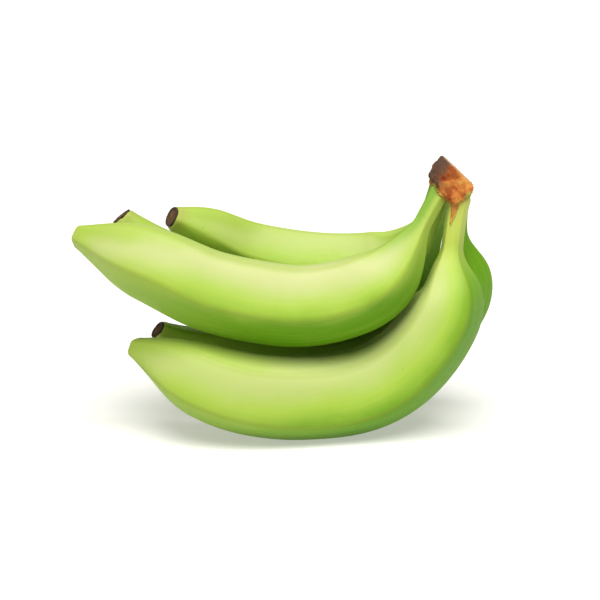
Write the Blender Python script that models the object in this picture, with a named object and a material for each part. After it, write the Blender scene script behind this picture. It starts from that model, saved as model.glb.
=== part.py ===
"""A small hand of five green plantains, joined at one cut crown and lying on its two lower fingers.

Lengths are in millimetres and become metres when a mesh is made. +Z is up and z = 0 is the surface
the hand lies on. The fingers run along X, from their blossom ends at -X to the crown at +X, and the
front of the hand faces -Y. Each finger is a rounded pentagon swept along its own curved centreline:
a thin neck at the crown, a shoulder, a full body and a taper to the blunt end. The crown is a lump
cut off slantwise, with the five necks ending in its underside, and each finger's blunt end carries
the dried scar of its flower.
"""
import math
from dataclasses import dataclass

import bmesh
import bpy
import numpy as np

MM = 0.001

# Clearance between two pieces, and how far the crown is grown to trim the necks clear of it
GAP = 0.3
CROWN_CLEARANCE = 1.2 * GAP

# Points that a centreline is measured over before it is spaced out evenly
FINE_POINTS = 3000

# Sweep of a finger: its five ridges, its mesh, how angular its section is, and how its girth blends
RIDGES = 5
SIDES = 20
RINGS = 38
BODY_POWER = 7.0
NECK_POWER = 9.0
SLIMMED_AT = 0.28
SHOULDER_BLEND = 5.0
TIP_BLEND = 3.5
END_BLEND = 2.5
ROOT_FLARE_LENGTH = 4.0
ROOT_OVERRUN = 7.0

# Dried flower scar, on the last of each centreline: distance out and share of the end's radius
SCAR_DEPTH = 1.5
SCAR_PROFILE = ((0.0, 1.0), (0.4, 1.06), (1.0, 1.0), (1.3, 0.80), (0.9, 0.45), (SCAR_DEPTH, 0.18))

# Crown: outline of its front, in X and Z, and how that outline changes from front to back
CROWN_OUTLINE = (
    (77, 147), (84, 141), (92, 133), (91, 129), (87, 126),
    (82, 123), (77, 126), (73, 130), (70, 136), (73, 142),
)
CROWN_CENTRE = (81, 134)
CROWN_SECTIONS = (
    # Y, share of the outline, shift in X, shift in Z
    (12.5, 0.84, 0.0, 0.0),
    (14.0, 0.95, 0.0, 0.0),
    (18.0, 1.00, 0.0, 0.0),
    (26.0, 1.01, -0.5, 0.2),
    (35.0, 1.00, -1.0, 0.3),
    (43.0, 0.95, -1.5, -0.5),
    (49.0, 0.86, -2.0, -1.5),
    (52.5, 0.66, -2.5, -2.0),
)

PEEL = (0.46, 0.66, 0.10)
PEEL_ROUGHNESS = 0.42
CROWN_BROWN = (0.42, 0.17, 0.05)
CROWN_ROUGHNESS = 0.85
SCAR_BROWN = (0.09, 0.05, 0.03)
SCAR_ROUGHNESS = 0.9


@dataclass(frozen=True)
class Finger:
    """One plantain: its place in the hand, its centreline from the crown to the end, and its girth.

    fullest_at is the share of its length where the body is thickest, and slimming is the share of its
    girth that the body loses at SLIMMED_AT of the length either side of that. The slopes are how fast
    the radius grows away from the neck and from the blunt end. The roll turns the five ridges about the
    centreline.
    """

    place: str
    centreline: tuple
    body_radius: float
    fullest_at: float
    slimming: float
    neck_radius: float
    neck_length: float
    shoulder_slope: float
    root_flare: float
    end_radius: float
    end_slope: float
    roll_degrees: float
    lies_on_surface: bool = False


FINGERS = (
    Finger(
        "front_lower",
        ((84, 21, 125), (80, 16, 89), (79, 12, 71), (52, 9, 34), (8, 1, 22), (-39, -7, 29), (-72, 6, 41),
         (-90, 18, 46)),
        body_radius=22.2, fullest_at=0.54, slimming=0.11,
        neck_radius=5.5, neck_length=28.0, shoulder_slope=0.53, root_flare=0.7,
        end_radius=4.8, end_slope=0.38, roll_degrees=8.0, lies_on_surface=True,
    ),
    Finger(
        "front_upper",
        ((73, 19, 129), (58, 8, 104), (40, 3, 84), (4, 3, 73), (-25, 1, 76), (-49, 1, 82), (-72, 4, 92),
         (-120, 28, 105)),
        body_radius=21.4, fullest_at=0.52, slimming=0.09,
        neck_radius=4.8, neck_length=22.0, shoulder_slope=0.43, root_flare=0.4,
        end_radius=5.2, end_slope=0.38, roll_degrees=-7.0,
    ),
    Finger(
        "back_upper",
        ((76, 46, 131), (68, 67, 101), (53, 83, 80), (15, 92, 74), (-28, 91, 83), (-46, 84, 93),
         (-72, 71, 108)),
        body_radius=20.4, fullest_at=0.44, slimming=0.11,
        neck_radius=4.9, neck_length=32.0, shoulder_slope=0.45, root_flare=0.4,
        end_radius=5.6, end_slope=0.46, roll_degrees=-24.0,
    ),
    Finger(
        "middle_upper",
        ((77, 32.5, 129), (70.5, 38, 105), (47, 42.5, 77), (14, 49, 65), (-27, 50, 66), (-66, 51, 79),
         (-98, 51, 112)),
        body_radius=19.9, fullest_at=0.49, slimming=0.06,
        neck_radius=4.9, neck_length=22.5, shoulder_slope=0.39, root_flare=0.2,
        end_radius=5.4, end_slope=0.38, roll_degrees=0.0,
    ),
    Finger(
        "back_lower",
        ((86.5, 40, 127), (85, 44, 107), (87, 48, 89), (87, 53, 73), (63, 57, 39), (10, 57, 21), (-53, 55, 32),
         (-79, 48, 49)),
        body_radius=21.1, fullest_at=0.52, slimming=0.09,
        neck_radius=5.2, neck_length=27.0, shoulder_slope=0.50, root_flare=0.4,
        end_radius=4.9, end_slope=0.38, roll_degrees=-6.0, lies_on_surface=True,
    ),
)


def clear_scene():
    """Removes every object that the open file starts with."""
    for old in list(bpy.data.objects):
        bpy.data.objects.remove(old, do_unlink=True)


def material(name, colour, roughness):
    """A plain Principled material of one colour."""
    made = bpy.data.materials.new(name)
    made.use_nodes = True
    shader = made.node_tree.nodes["Principled BSDF"]
    shader.inputs["Base Color"].default_value = (*colour, 1.0)
    shader.inputs["Roughness"].default_value = roughness
    shader.inputs["Metallic"].default_value = 0.0
    return made


def soft_min(first, second, blend):
    """The smaller of two values, with the corner between them rounded over the blend."""
    share = np.clip(0.5 + 0.5 * (second - first) / blend, 0.0, 1.0)
    return second * (1 - share) + first * share - blend * share * (1 - share)


def soft_max(first, second, blend):
    """The larger of two values, with the corner between them rounded over the blend."""
    return -soft_min(-first, -second, blend)


def smooth_path(stations, count, left_off):
    """Even points on a natural cubic spline, short of its end, how far along each is, and its length."""
    points = np.array(stations, dtype=float)
    steps = np.sqrt(np.linalg.norm(np.diff(points, axis=0), axis=1))
    knots = np.concatenate([[0.0], np.cumsum(steps)])
    last = len(points) - 1
    system = np.eye(last + 1)
    target = np.zeros_like(points)
    for i in range(1, last):
        before = steps[i - 1]
        after = steps[i]
        system[i, i - 1:i + 2] = (before, 2 * (before + after), after)
        target[i] = 6 * ((points[i + 1] - points[i]) / after - (points[i] - points[i - 1]) / before)
    bend = np.linalg.solve(system, target)

    fine = np.linspace(0.0, knots[-1], FINE_POINTS)
    span = np.clip(np.searchsorted(knots, fine, side="right") - 1, 0, last - 1)
    width = steps[span][:, None]
    left = (knots[span + 1] - fine)[:, None]
    right = (fine - knots[span])[:, None]
    path = (
        bend[span] * left ** 3 / (6 * width)
        + bend[span + 1] * right ** 3 / (6 * width)
        + (points[span] / width - bend[span] * width / 6) * left
        + (points[span + 1] / width - bend[span + 1] * width / 6) * right
    )
    travelled = np.concatenate([[0.0], np.cumsum(np.linalg.norm(np.diff(path, axis=0), axis=1))])
    wanted = np.linspace(0.0, travelled[-1] - left_off, count)
    even = np.stack([np.interp(wanted, travelled, path[:, axis]) for axis in range(3)], axis=1)
    return even, wanted, travelled[-1]


def finger_radius(finger, along, length):
    """The mean radius at each distance along the finger from the crown."""
    from_fullest = (along / length - finger.fullest_at) / SLIMMED_AT
    body = finger.body_radius * (1 - finger.slimming * from_fullest ** 2)
    shoulder = finger.neck_radius + finger.shoulder_slope * (along - finger.neck_length)
    taper = finger.end_radius + finger.end_slope * (length - along)
    radius = soft_min(soft_min(shoulder, body, SHOULDER_BLEND), taper, TIP_BLEND)
    least = np.where(along < 0.5 * length, finger.neck_radius, finger.end_radius)
    flare = finger.root_flare * np.exp(-along / ROOT_FLARE_LENGTH)
    return soft_max(radius, least, END_BLEND) + flare


def pentagon(angles, power):
    """A rounded pentagon's radius at each angle, with a ridge at angle 0 and a mean of 1."""
    total = np.zeros_like(angles)
    for face in range(RIDGES):
        towards_face = np.cos(angles - 2 * math.pi * (face + 0.5) / RIDGES)
        total += np.maximum(towards_face, 0.0) ** power
    radius = total ** (-1.0 / power)
    return radius / radius.mean()


def path_frames(path):
    """Unit vectors along the path, outward (away from the bend's centre) and sideways."""
    tangent = np.gradient(path, axis=0)
    tangent /= np.linalg.norm(tangent, axis=1)[:, None]
    away = np.array([0.0, 1.0, 0.0])
    side = away - tangent * (tangent @ away)[:, None]
    side /= np.linalg.norm(side, axis=1)[:, None]
    return tangent, np.cross(tangent, side), side


def finger_rings(finger):
    """The rings of points that a finger's skin is stretched over, from inside the crown to its end."""
    path, along, length = smooth_path(finger.centreline, RINGS, GAP + SCAR_DEPTH)
    tangent, outward, side = path_frames(path)
    radius = finger_radius(finger, along, length)
    neck_share = np.clip(1 - (along - finger.neck_length) / finger.neck_length, 0.0, 1.0)
    power = BODY_POWER + (NECK_POWER - BODY_POWER) * neck_share
    around = 2 * math.pi * np.arange(SIDES) / SIDES
    turned = around + math.radians(finger.roll_degrees)
    rings = []
    for i in range(RINGS):
        reach = radius[i] * pentagon(around, power[i])
        ring = path[i] + np.cos(turned)[:, None] * reach[:, None] * outward[i]
        rings.append(ring + np.sin(turned)[:, None] * reach[:, None] * side[i])
    rings.insert(0, rings[0] - ROOT_OVERRUN * tangent[0])
    return rings, path[-1], tangent[-1], outward[-1], side[-1]


def skin(rings):
    """A closed bmesh over a row of rings, with a flat cap at each end."""
    mesh = bmesh.new()
    rows = [[mesh.verts.new([value * MM for value in point]) for point in ring] for ring in rings]
    sides = len(rows[0])
    for near, far in zip(rows, rows[1:]):
        for i in range(sides):
            j = (i + 1) % sides
            mesh.faces.new((near[i], near[j], far[j], far[i]))
    mesh.faces.new(list(reversed(rows[0])))
    mesh.faces.new(rows[-1])
    bmesh.ops.recalc_face_normals(mesh, faces=mesh.faces)
    return mesh


def flatten_underneath(mesh):
    """Cuts the mesh level with the surface, which leaves a small flat spot to lie on."""
    geometry = list(mesh.verts) + list(mesh.edges) + list(mesh.faces)
    cut = bmesh.ops.bisect_plane(
        mesh, geom=geometry, plane_co=(0.0, 0.0, 0.0), plane_no=(0.0, 0.0, -1.0), clear_outer=True,
    )
    rim = [item for item in cut["geom_cut"] if isinstance(item, bmesh.types.BMEdge)]
    bmesh.ops.contextual_create(mesh, geom=rim)
    bmesh.ops.recalc_face_normals(mesh, faces=mesh.faces)


def add_object(name, mesh, look):
    """Writes a bmesh to a named, smooth-shaded object."""
    data = bpy.data.meshes.new(name)
    mesh.to_mesh(data)
    mesh.free()
    data.materials.append(look)
    data.shade_smooth()
    made = bpy.data.objects.new(name, data)
    bpy.context.scene.collection.objects.link(made)
    return made


def crown_rings(growth):
    """The crown's outline at each depth, grown outwards all round by a distance."""
    outline = np.array(CROWN_OUTLINE, dtype=float)
    centre = np.array(CROWN_CENTRE, dtype=float)
    reach = np.linalg.norm(outline - centre, axis=1)[:, None]
    rings = []
    depths = [section[0] for section in CROWN_SECTIONS]
    middle = 0.5 * (depths[0] + depths[-1])
    for depth, share, shift_x, shift_z in CROWN_SECTIONS:
        points = centre + (outline - centre) * (share + growth / reach)
        out = growth if depth > middle else -growth
        rings.append([(x + shift_x, depth + out, z + shift_z) for x, z in points])
    return rings


def make_crown():
    """The cut crown, and the slightly larger copy that trims the necks."""
    brown = material("crown_brown", CROWN_BROWN, CROWN_ROUGHNESS)
    add_object("crown", skin(crown_rings(0.0)), brown)
    cutter = add_object("crown_cutter", skin(crown_rings(CROWN_CLEARANCE)), brown)
    cutter.hide_render = True
    cutter.display_type = "WIRE"
    return cutter


def make_scar(finger, centre, outwards, spoke, side):
    """The dried flower scar on a finger's blunt end."""
    around = 2 * math.pi * np.arange(SIDES) / SIDES + math.radians(finger.roll_degrees)
    rings = []
    for distance, share in SCAR_PROFILE:
        reach = finger.end_radius * share
        middle = centre + (GAP + distance) * outwards
        rings.append([middle + reach * (math.cos(a) * spoke + math.sin(a) * side) for a in around])
    name = f"blossom_end_{finger.place}"
    add_object(name, skin(rings), material(f"{name}_brown", SCAR_BROWN, SCAR_ROUGHNESS))


def make_finger(finger, crown_cutter):
    """One finger, trimmed clear of the crown, and its flower scar."""
    rings, end, outwards, spoke, side = finger_rings(finger)
    mesh = skin(rings)
    if finger.lies_on_surface:
        flatten_underneath(mesh)
    name = f"finger_{finger.place}"
    made = add_object(name, mesh, material(f"{name}_peel", PEEL, PEEL_ROUGHNESS))
    trim = made.modifiers.new("trim_at_crown", "BOOLEAN")
    trim.operation = "DIFFERENCE"
    trim.object = crown_cutter
    make_scar(finger, end, outwards, spoke, side)


def centre_on_footprint():
    """Moves everything along the surface until the middle of the hand's box is over the origin."""
    bpy.context.view_layer.update()
    seen = bpy.context.evaluated_depsgraph_get()
    corners = []
    for made in bpy.data.objects:
        if not made.hide_render:
            corners += [vertex.co[:] for vertex in made.evaluated_get(seen).data.vertices]
    middle = 0.5 * (np.min(corners, axis=0) + np.max(corners, axis=0))
    for made in bpy.data.objects:
        made.location = (-middle[0], -middle[1], 0.0)


def main():
    """Builds the hand."""
    clear_scene()
    crown_cutter = make_crown()
    for finger in FINGERS:
        make_finger(finger, crown_cutter)
    centre_on_footprint()


main()
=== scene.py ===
"""Looks of a small hand of five green plantains, joined at one cut crown and lying on two of them.

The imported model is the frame. Each finger's peel is swept along its centreline by Geometry Nodes, with
its five ridges, its neck and its blunt end. The cut crown, the dried flower scars, the dried skin that
runs from the crown onto the necks, and the loose fibres are meshes of their own. Sizes are millimetres
in the hand's own drawing, as in the CAD source, and HandFrame turns them into the frame's metres.
"""
from __future__ import annotations

import logging
import math
from dataclasses import dataclass, field
from enum import Enum

import bmesh
import bpy
import numpy as np
from bpy.types import Curve, Material, Mesh, Node, NodeSocket, NodeTree, Object
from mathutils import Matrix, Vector, noise

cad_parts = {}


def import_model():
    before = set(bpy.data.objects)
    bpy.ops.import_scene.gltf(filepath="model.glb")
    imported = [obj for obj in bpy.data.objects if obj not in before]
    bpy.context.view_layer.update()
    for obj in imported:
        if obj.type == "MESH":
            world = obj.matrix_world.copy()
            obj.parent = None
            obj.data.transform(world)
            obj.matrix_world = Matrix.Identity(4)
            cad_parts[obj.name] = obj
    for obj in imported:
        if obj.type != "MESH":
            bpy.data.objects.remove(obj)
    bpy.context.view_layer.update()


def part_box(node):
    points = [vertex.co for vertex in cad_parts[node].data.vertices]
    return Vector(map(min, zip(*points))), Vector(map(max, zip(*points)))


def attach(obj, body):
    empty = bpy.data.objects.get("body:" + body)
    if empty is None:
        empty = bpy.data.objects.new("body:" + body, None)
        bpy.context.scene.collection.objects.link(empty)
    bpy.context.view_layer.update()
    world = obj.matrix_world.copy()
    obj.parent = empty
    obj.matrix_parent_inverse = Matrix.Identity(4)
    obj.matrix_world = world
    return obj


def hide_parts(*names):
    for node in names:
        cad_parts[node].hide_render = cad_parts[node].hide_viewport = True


LOG = logging.getLogger("plantains")

MM = 0.001
BODY = "root"

MATH = "ShaderNodeMath"
VECTOR_MATH = "ShaderNodeVectorMath"
MAP_RANGE = "ShaderNodeMapRange"
NOISE = "ShaderNodeTexNoise"
MIX = "ShaderNodeMix"
READ = "GeometryNodeInputNamedAttribute"
STORE = "GeometryNodeStoreNamedAttribute"
SHADER_READ = "ShaderNodeAttribute"
COLOUR = {"data_type": "RGBA"}
ADD = {"operation": "ADD"}
COSINE = {"operation": "COSINE"}
DIVIDE = {"operation": "DIVIDE"}
MULTIPLY = {"operation": "MULTIPLY"}
MULTIPLY_ADD = {"operation": "MULTIPLY_ADD"}
POWER = {"operation": "POWER"}
SCALE = {"operation": "SCALE"}
SINE = {"operation": "SINE"}
SUBTRACT = {"operation": "SUBTRACT"}
SMOOTH = {"interpolation_type": "SMOOTHSTEP"}
NUMBER = {"data_type": "FLOAT"}
TRIPLE = {"data_type": "FLOAT_VECTOR"}


class Depth(Enum):
    """Where a finger is in the hand, from the side that faces the camera."""

    FRONT = "front"
    MIDDLE = "middle"
    BACK = "back"


class Row(Enum):
    """The outer row lies on the surface, and the inner row is carried above it."""

    LOWER = "lower"
    UPPER = "upper"


def linear(colour: str) -> tuple[float, float, float, float]:
    """Turns an sRGB colour into the linear values that a socket takes.

    Args:
        colour: six hex digits after a hash.

    Returns:
        Red, green, blue and an alpha of 1.
    """
    parts = [int(colour[i:i + 2], 16) / 255 for i in (1, 3, 5)]
    return (*(c / 12.92 if c <= 0.04045 else ((c + 0.055) / 1.055) ** 2.4 for c in parts), 1.0)


def add_node(
    tree: NodeTree,
    kind: str,
    settings: dict[str, object] | None = None,
    inputs: dict[str | int, object] | None = None,
) -> Node:
    """Adds a node with its settings, values and links.

    Args:
        tree: the material or geometry tree that it goes into.
        kind: Blender's type name of the node.
        settings: properties of the node itself.
        inputs: socket name or place to a value, a socket, or a node whose first output is meant.

    Returns:
        The new node.
    """
    node = tree.nodes.new(kind)
    for name, value in (settings or {}).items():
        setattr(node, name, value)
    for key, value in (inputs or {}).items():
        if isinstance(key, int):
            socket = node.inputs[key]
        else:
            socket = next(s for s in node.inputs if s.name == key and s.enabled)
        if isinstance(value, Node):
            value = next(s for s in value.outputs if s.enabled)
        if isinstance(value, NodeSocket):
            tree.links.new(value, socket)
        else:
            socket.default_value = value
    return node


def new_material(name: str) -> tuple[Material, NodeTree, Node]:
    """Makes a material and gives its tree and its Principled shader.

    Args:
        name: what the finish is.

    Returns:
        The material, its node tree and the shader node.
    """
    made = bpy.data.materials.new(name)
    made.use_nodes = True
    return made, made.node_tree, made.node_tree.nodes["Principled BSDF"]


def new_geometry_tree(name: str, inputs: dict[str, str]) -> tuple[NodeTree, Node, Node]:
    """Starts a Geometry Nodes tree with named inputs.

    Args:
        name: the tree's name.
        inputs: each input's name and the type of its socket.

    Returns:
        The tree, its input node and its output node.
    """
    tree = bpy.data.node_groups.new(name, "GeometryNodeTree")
    tree.interface.new_socket(name="Geometry", in_out="INPUT", socket_type="NodeSocketGeometry")
    for label, kind in inputs.items():
        tree.interface.new_socket(name=label, in_out="INPUT", socket_type=kind)
    tree.interface.new_socket(name="Geometry", in_out="OUTPUT", socket_type="NodeSocketGeometry")
    return tree, tree.nodes.new("NodeGroupInput"), tree.nodes.new("NodeGroupOutput")


def run_tree(host: Object, tree: NodeTree, values: dict[str, object], name: str) -> Object:
    """Runs a Geometry Nodes tree on an object and keeps the result as a plain mesh.

    Args:
        host: the object that the tree starts from, which is removed.
        tree: the tree.
        values: the tree's inputs, by name.
        name: the name of the new piece.

    Returns:
        The new object, at the origin and without modifiers.
    """
    modifier = host.modifiers.new("sweep", "NODES")
    modifier.node_group = tree
    for item in tree.interface.items_tree:
        if item.item_type == "SOCKET" and item.in_out == "INPUT" and item.name in values:
            modifier[item.identifier] = values[item.name]
    bpy.context.view_layer.update()
    seen = bpy.context.evaluated_depsgraph_get()
    mesh = bpy.data.meshes.new_from_object(
        host.evaluated_get(seen), preserve_all_data_layers=True, depsgraph=seen
    )
    mesh.name = name
    host_data = host.data
    bpy.data.objects.remove(host, do_unlink=True)
    if isinstance(host_data, Curve):
        bpy.data.curves.remove(host_data)
    else:
        bpy.data.meshes.remove(host_data)
    return place_piece(name, mesh)


def place_piece(name: str, mesh: Mesh) -> Object:
    """Puts a mesh in the scene as an object at the origin.

    Args:
        name: the piece's name.
        mesh: its mesh, in the frame's metres.

    Returns:
        The new object.
    """
    made = bpy.data.objects.new(name, mesh)
    bpy.context.scene.collection.objects.link(made)
    return made


def declare(piece: Object, slot: str, *nodes: str) -> None:
    """Says what a finished piece rides on and which CAD nodes it stands for.

    Args:
        piece: the finished object.
        slot: the record's material slot; not used.
        nodes: the CAD nodes that aren't shown because of it.
    """
    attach(piece, BODY)
    if nodes:
        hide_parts(*nodes)
    LOG.info("%s: %d vertices, %d faces", piece.name, len(piece.data.vertices), len(piece.data.polygons))


def soft_min(first: np.ndarray, second: np.ndarray, blend: float) -> np.ndarray:
    """The smaller of two values, with the corner between them rounded over the blend."""
    share = np.clip(0.5 + 0.5 * (second - first) / blend, 0.0, 1.0)
    return second * (1 - share) + first * share - blend * share * (1 - share)


def soft_max(first: np.ndarray, second: np.ndarray, blend: float) -> np.ndarray:
    """The larger of two values, with the corner between them rounded over the blend."""
    return -soft_min(-first, -second, blend)


def loft(rings: np.ndarray) -> bmesh.types.BMesh:
    """Stretches a skin over a row of closed rings and closes its ends with a fan.

    Args:
        rings: points by ring, place on the ring and axis.

    Returns:
        The bmesh, with its faces outwards.
    """
    mesh = bmesh.new()
    rows = [[mesh.verts.new(point) for point in ring] for ring in rings]
    count = len(rows[0])
    for near, far in zip(rows, rows[1:]):
        for i in range(count):
            j = (i + 1) % count
            mesh.faces.new((near[i], near[j], far[j], far[i]))
    for row in (rows[0], rows[-1]):
        middle = mesh.verts.new(np.mean([vertex.co for vertex in row], axis=0))
        for i in range(count):
            mesh.faces.new((row[i], row[(i + 1) % count], middle))
    bmesh.ops.recalc_face_normals(mesh, faces=mesh.faces)
    return mesh


def to_mesh(name: str, made: bmesh.types.BMesh, look: Material) -> Mesh:
    """Writes a bmesh to a smooth mesh with one material.

    Args:
        name: the mesh's name.
        made: the bmesh, which is freed.
        look: the material.

    Returns:
        The mesh.
    """
    mesh = bpy.data.meshes.new(name)
    made.to_mesh(mesh)
    made.free()
    mesh.materials.append(look)
    mesh.shade_smooth()
    return mesh


def write_attribute(mesh: Mesh, name: str, values: np.ndarray) -> None:
    """Stores one number a vertex on a mesh.

    Args:
        mesh: the mesh.
        name: the attribute's name.
        values: one number for each vertex.
    """
    layer = mesh.attributes.new(name, "FLOAT", "POINT")
    layer.data.foreach_set("value", np.asarray(values, np.float32))


def read_vectors(mesh: Mesh, collection: str, key: str) -> np.ndarray:
    """Reads three numbers a vertex from a mesh.

    Args:
        mesh: the mesh.
        collection: "vertices", or the name of a vector attribute.
        key: the property that holds the numbers.

    Returns:
        An array of points or vectors.
    """
    source = mesh.vertices if collection == "vertices" else mesh.attributes[collection].data
    flat = np.zeros(len(mesh.vertices) * 3, np.float32)
    source.foreach_get(key, flat)
    return flat.reshape(-1, 3).astype(float)


def read_numbers(mesh: Mesh, name: str) -> np.ndarray:
    """Reads one number a vertex from a mesh's attribute."""
    flat = np.zeros(len(mesh.vertices), np.float32)
    mesh.attributes[name].data.foreach_get("value", flat)
    return flat.astype(float)


@dataclass(frozen=True)
class HandFrame:
    """Turns the hand's own drawing, in millimetres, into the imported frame, in metres.

    The drawing's places are the CAD source's, and the crown's box says how far the frame lies from it.
    """

    crown_right: float = 92.0
    crown_front: float = 12.5

    def offset(self) -> np.ndarray:
        """Where the drawing's origin lies in the frame, in millimetres."""
        low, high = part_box("crown")
        return np.array([high.x / MM - self.crown_right, low.y / MM - self.crown_front, 0.0])

    def place(self, points: np.ndarray) -> np.ndarray:
        """Points of the drawing as points of the frame."""
        return (np.asarray(points, float) + self.offset()) * MM


@dataclass(frozen=True)
class UnripePeel:
    """The peel of an unripe plantain: a smooth, waxy skin, as grown.

    Its wax gives a broad, soft shine. The green is lighter and yellower on the neck and towards the
    blunt end, with faint fibres along the finger, a darker line on each ridge, and few specks. The pale
    layer on the inner side of the bend is partly a paler skin and partly a painted highlight, and the deep
    green of the outer side is partly the peel's own darker side and partly painted shade on the undersides.
    blunt end, with faint fibres along the finger, a darker line on each ridge, and few specks.

    A span says where a layer starts and where it is whole. Round the finger, spans run from -1 on the
    inner side of the bend to 1 on its outer side, and in a noise from 0 to 1. browned_span is a
    distance from the crown, which the noise shortens.
    """

    name: str = "unripe_plantain_peel_waxy"
    # The deep green of the outer side is partly the peel's own darker side and partly painted shade on the
    # undersides
    outer: str = "#5f9304"
    middle: str = "#9cba42"
    # The cream of the inner side is partly a paler skin and partly a painted highlight
    inner: str = "#bcc385"
    pale: str = "#bccf5c"
    neck: str = "#c0c95e"
    neck_green: str = "#749c2a"
    neck_outside: str = "#9ab046"
    olive: str = "#97b043"
    dry: str = "#a59c56"
    ridge: str = "#8a9a2c"
    speck: str = "#77772f"
    browned: str = "#85682a"
    roughness: float = 0.54
    patch_mm: float = 34.0
    fibre_mm: float = 1.7
    fibre_length_mm: float = 45.0
    wax_mm: float = 2.2
    speck_mm: float = 9.0
    girth_mm: float = 138.0
    patch_drift: float = 0.7
    # How far the pale side, partly a painted highlight, turns outwards near the neck and the blunt end, and
    # how far the deep outer green, partly painted shade, fades at the blunt end
    neck_turn: float = 0.75
    end_turn: float = 2.0
    end_fade: float = 1.25
    inner_span: tuple[float, float] = (0.05, -0.75)
    inner_edge_span: tuple[float, float] = (-1.2, -0.72)
    inner_edge_share: float = 0.25
    outer_span: tuple[float, float] = (-0.12, 0.6)
    fibre_span: tuple[float, float] = (0.45, 0.75)
    fibre_share: float = 0.12
    ridge_power: float = 3.0
    ridge_share: float = 0.3
    neck_side_span: tuple[float, float] = (-1.1, -0.4)
    neck_span: tuple[float, float] = (0.2, 0.85)
    olive_share: float = 0.6
    bare_cells: float = 0.72
    speck_span: tuple[float, float] = (0.07, 0.03)
    speck_share: float = 0.35
    ragged_mm: float = 1.8
    ragged_depth_mm: float = 3.0
    browned_span: tuple[float, float] = (0.5 * MM, -1.8 * MM)
    browned_share: float = 0.9
    wax_span: tuple[float, float] = (0.3, 0.7)
    wax_shine: tuple[float, float] = (-0.04, 0.07)
    wax_bump: float = 0.18
    wax_depth_mm: float = 0.25
    fibre_height: float = 0.6
    glow_share: float = 0.06
    glow_reach: tuple[float, float, float] = (1.0, 1.0, 0.3)
    glow_mm: float = 3.0
    wax_ior: float = 1.45
    shine: float = 0.28

    def build(self) -> Material:
        """Makes the material.

        Returns:
            The material, which reads the attributes that the peel's tree stores.
        """
        made, tree, shader = new_material(self.name)
        place = add_node(tree, "ShaderNodeTexCoord").outputs["Object"]
        skin = add_node(tree, SHADER_READ, {"attribute_name": "skin"}).outputs["Vector"]
        parts = add_node(tree, "ShaderNodeSeparateXYZ", None, {0: skin})
        belly, green_neck, neck_tint, olive_end, ridge, dry_end, from_crown, green_turn = (
            add_node(tree, SHADER_READ, {"attribute_name": name}).outputs["Fac"]
            for name in ("belly", "green_neck", "neck_tint", "olive_end", "ridge", "dry_end", "from_crown",
                         "green_turn")
        )

        across = self.girth_mm / (2 * math.pi * self.fibre_mm)
        lengthwise = 1 / (self.fibre_length_mm * MM)
        fibre_place = add_node(tree, VECTOR_MATH, MULTIPLY, {0: skin, 1: (across, across, lengthwise)})
        fibres = add_node(tree, NOISE, None, {"Vector": fibre_place, "Scale": 1.0, "Detail": 2.0})
        patches, wax, ragged = (
            add_node(tree, NOISE, None, {"Vector": place, "Scale": 1 / (size * MM), "Detail": detail})
            for size, detail in ((self.patch_mm, 3.0), (self.wax_mm, 2.0), (self.ragged_mm, 3.0))
        )

        # Slow patches vary how far round the deep outer side, partly painted shade, lies. Near the necks
        # and the blunt ends the pale side, partly a painted highlight, turns outwards, which thins the
        # painted shade there
        patchy = add_node(tree, MATH, SUBTRACT, {0: patches, 1: 0.5})
        near_end = add_node(tree, MATH, MULTIPLY, {0: olive_end, 1: olive_end})
        around: Node | NodeSocket = parts.outputs["X"]
        for part, turn in (
            (patchy, self.patch_drift),
            (green_turn, 1.0),
            (green_neck, -self.neck_turn),
            (near_end, -self.end_turn),
        ):
            around = add_node(tree, MATH, MULTIPLY_ADD, {0: part, 1: turn, 2: around})

        # A few specks, in only some of the cells
        cells = add_node(
            tree, "ShaderNodeTexVoronoi", {"feature": "F1"},
            {"Vector": place, "Scale": 1 / (self.speck_mm * MM)},
        )
        cell_value = add_node(tree, "ShaderNodeSeparateColor", None, {0: cells.outputs["Color"]})
        chosen = add_node(tree, MATH, {"operation": "GREATER_THAN"}, {0: cell_value, 1: self.bare_cells})

        # How much of each place a layer covers. The skin browns unevenly where it enters the crown
        # The deep outer green, partly painted shade, fades towards the blunt end
        outer_most = add_node(tree, MATH, MULTIPLY_ADD, {0: olive_end, 1: -self.end_fade, 2: 1.0})
        reach = add_node(tree, MATH, MULTIPLY_ADD, {
            0: ragged, 1: -self.ragged_depth_mm * MM, 2: from_crown,
        })
        inner, inner_edge, outer, neck_side, neck_share, speck, browned = (
            add_node(tree, MAP_RANGE, SMOOTH, {
                "Value": value, "From Min": start, "From Max": end, "To Min": least, "To Max": most,
            })
            for value, (start, end), least, most in (
                (around, self.inner_span, 0.0, 1.0),
                (around, self.inner_edge_span, self.inner_edge_share, 1.0),
                (around, self.outer_span, 0.0, outer_most),
                (around, self.neck_side_span, 0.0, 1.0),
                (green_neck, self.neck_span, 0.0, 1.0),
                (cells.outputs["Distance"], self.speck_span, 0.0, self.speck_share),
                (reach, self.browned_span, 0.0, self.browned_share),
            )
        )
        fibrous = add_node(tree, MAP_RANGE, None, {
            "Value": fibres, "From Min": self.fibre_span[0], "From Max": self.fibre_span[1],
            "To Min": 0.0, "To Max": self.fibre_share,
        })
        thin = add_node(tree, MATH, POWER, {0: ridge, 1: self.ridge_power})
        # The pale layer, partly a painted highlight, is weaker right at the top of the bend
        inner, ridge_line, olive, speck = (
            add_node(tree, MATH, MULTIPLY, {0: share, 1: by})
            for share, by in (
                (inner, inner_edge),
                (thin, self.ridge_share),
                (olive_end, self.olive_share),
                (speck, chosen),
            )
        )
        # The pale layer, partly a painted highlight, lies over the middle of the finger, as strongly as
        # each finger's share says
        inner = add_node(tree, MATH, MULTIPLY, {0: inner, 1: belly})

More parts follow.
